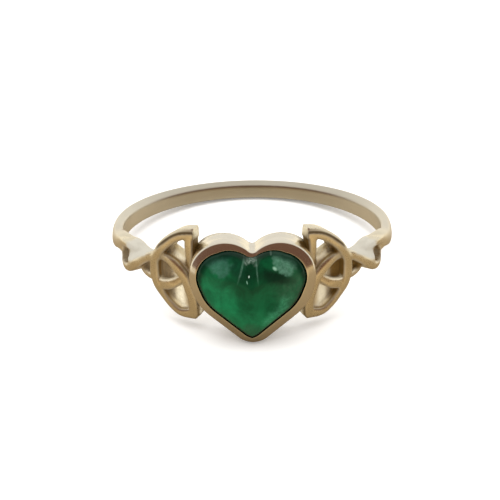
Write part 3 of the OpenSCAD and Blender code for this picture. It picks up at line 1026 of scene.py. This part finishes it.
# %% The emerald
body_green = (0.004, 0.082, 0.028, 1)
speck_green = (0.12, 0.34, 0.22, 1)
rim_green = (0.002, 0.012, 0.006, 1)
patch_y = -11.6  # the patches lie inside the dome
push_m, push_over = 0.0011, 0.3  # borders of patches wider than 0.3 mm are pushed about
wave_lumps, veil_lumps, cloud_lumps, speck_lumps = 1100, 3400, 900, 9000  # in a metre
cloud_dark, cloud_more = 0.54, 0.42  # the light between the clouds, and what a cloud adds

def emerald():
    material, tree, shader = new_material("emerald")
    place = add_node(tree, "TexCoord", {})["Object"]
    wave = noise(tree, wave_lumps, 4, output="Color")
    push = vector_node(tree, "MULTIPLY", vector_node(tree, "SUBTRACT", wave, (.5, .5, .5)),
                       (push_m, push_m, push_m))
    pushed = vector_node(tree, "ADD", place, push)
    veil = step_up(tree, noise(tree, veil_lumps, 5, 0.62, 1.4), 0.36, 0.66)
    colour = body_green
    for x, z, wide, high, turn, soft, tint, strength, broken in PATCHES:
        mask = use_group(tree, patch_group, {
            "Place": pushed if wide > push_over else place,
            "Middle": lay_down @ Vector((x, patch_y, z)),
            "Size": (wide / 1000, 1, high / 1000), "Turn": math.radians(turn),
            "Softness": soft})["Mask"]
        share = math_node(tree, "MULTIPLY", mask, strength)
        if broken:
            share = math_node(tree, "MULTIPLY", share,
                              math_node(tree, "MULTIPLY_ADD", veil, broken, 1 - broken))
        colour = mix_colour(tree, share, colour, (*tint, 1))
    clouds = step_up(tree, noise(tree, cloud_lumps, 4, 0.6, 0.8), 0.25, 0.75)
    depth = math_node(tree, "MULTIPLY_ADD", clouds, cloud_more, cloud_dark)
    colour = mix_colour(tree, 1.0, colour, grey(tree, depth), "MULTIPLY")
    specks = step_up(tree, noise(tree, speck_lumps, 2, 0.7), 0.72, 0.84)
    for mask, share, tint in ((specks, 0.3, speck_green),
                              (attribute(tree, "rim"), 0.85, rim_green)):
        colour = mix_colour(tree, math_node(tree, "MULTIPLY", mask, share), colour, tint)
    feed(tree, shader, {"Base Color": colour, "Roughness": 0.10, "IOR": 1.57,
                        "Specular IOR Level": 0.10})
    return material

stone.data.materials.append(emerald())
print("the emerald has", len(stone.data.materials[0].node_tree.nodes), "nodes")

# %% [markdown]
# ## The room
#
# Polished gold shows little of itself; it shows the room. The photographer's room is
# white behind the ring and dark brown overhead and behind the camera, and that is what
# draws the dark band on the lip and the white tops. Lamps and boards could build such a
# room, but a sky that changes with direction does it with few nodes. Matt surfaces and
# the eye get a plain white room, so that floors and stone are lit from all round.

# %% The room
white, dark, brown = (1, 0.98, 0.95, 1), (0.19, 0.10, 0.07, 1), (0.40, 0.28, 0.16, 1)
scene = bpy.context.scene
scene.view_settings.view_transform = "Standard"
scene.world = bpy.data.worlds.new("studio")
scene.world.use_nodes = True

def build_room(tree):
    """The sky, by its direction: Y points away from the camera and Z up."""
    tree.nodes.clear()
    where = add_node(tree, "TexCoord", {})["Generated"]
    parts = add_node(tree, "SeparateXYZ", {0: where})
    far_side = step_up(tree, parts["Y"], -0.03, 0.22)
    low_front = math_node(tree, "MULTIPLY", step_up(tree, parts["Z"], 0.55, 0.2),
                          step_up(tree, parts["Y"], -0.3, -0.7))
    near_side = mix_colour(tree, low_front, dark, brown)
    mirrored = mix_colour(tree, far_side, near_side, white)
    by = add_node(tree, "LightPath", {})
    plain = math_node(tree, "MAXIMUM", by["Is Diffuse Ray"], by["Is Camera Ray"])
    sky = add_node(tree, "Background", {"Color": mix_colour(tree, plain, mirrored, white),
                                        "Strength": 0.95})
    add_node(tree, "OutputWorld", {0: sky[0]})

build_room(scene.world.node_tree)
print("room:", len(scene.world.node_tree.nodes), "nodes")

# %% [markdown]
# ## The lamp
#
# One large soft box hangs over the table. It lights the paper and gives the ring its
# faint shadow. The gold must not mirror it, because the photograph shows no lamp in the
# gold, so it is hidden from reflections.

# %% The soft box
lamp = bpy.data.lights.new("overhead softbox", "AREA")
lamp.shape, lamp.size, lamp.size_y, lamp.energy = "RECTANGLE", 0.5, 0.5, 1.6
softbox = put("overhead softbox", lamp)
softbox.location = (-0.05, -0.05, 0.5)
softbox.visible_glossy = False
print("soft box:", round(lamp.energy, 2), "W,", lamp.size, "m wide")

# %% [markdown]
# ## The table
#
# The ring lies on white paper. In the gold the paper looks warm and brown, since light
# that has bounced between gold and paper takes the gold's colour. One bounce in a render
# shows too little of that. So the paper has two faces: tan for reflections, with painted
# shade that is darkest under the heart and pale further back and at the sides, and for
# the eye white with a faint glow, which keeps the ground as white as in the picture.

# %% The paper
near_tan = (0.58, 0.44, 0.26, 1)
# painted shade: in reflections the paper is darkest under the heart
heart_tan = (0.34, 0.26, 0.16, 1)
pale_tan = (0.88, 0.83, 0.72, 1)
half = 3  # half of the paper's side, in metres

def pale_paper():
    """White for the eye and tan in the gold; places are in metres from the ring's middle."""
    material, tree, _ = new_material("pale paper")
    tree.nodes.clear()
    white_paper = add_node(tree, "BsdfDiffuse", {0: (0.95, 0.95, 0.95, 1)})
    glow = add_node(tree, "Emission", {"Strength": 0.18})
    for_the_eye = add_node(tree, "AddShader", {0: white_paper[0], 1: glow[0]})
    spot = add_node(tree, "SeparateXYZ", {0: add_node(tree, "TexCoord", {})["Object"]})
    tan = mix_colour(tree, step_up(tree, spot["Y"], -0.026, -0.012), near_tan, heart_tan)
    sides = step_up(tree, math_node(tree, "ABSOLUTE", spot["X"]), 0.022, 0.034)
    sides = math_node(tree, "MULTIPLY", sides, step_up(tree, spot["Y"], -0.016, -0.004))
    pale = math_node(tree, "MAXIMUM", step_up(tree, spot["Y"], -0.002, 0.02), sides)
    for_gold = add_node(tree, "BsdfDiffuse", {0: mix_colour(tree, pale, tan, pale_tan)})
    mirrored = add_node(tree, "LightPath", {})["Is Glossy Ray"]
    both = add_node(tree, "MixShader", {0: mirrored, 1: for_the_eye[0], 2: for_gold[0]})
    add_node(tree, "OutputMaterial", {0: both[0]})
    return material

floor_mesh = bpy.data.meshes.new("floor")
corners = [(x * half, y * half, 0) for x, y in ((-1, -1), (1, -1), (1, 1), (-1, 1))]
floor_mesh.from_pydata(corners, [], [(0, 1, 2, 3)])
floor = put("floor", floor_mesh)
floor_mesh.materials.append(pale_paper())
print("paper:", [round(v, 1) for v in floor.dimensions], "m")
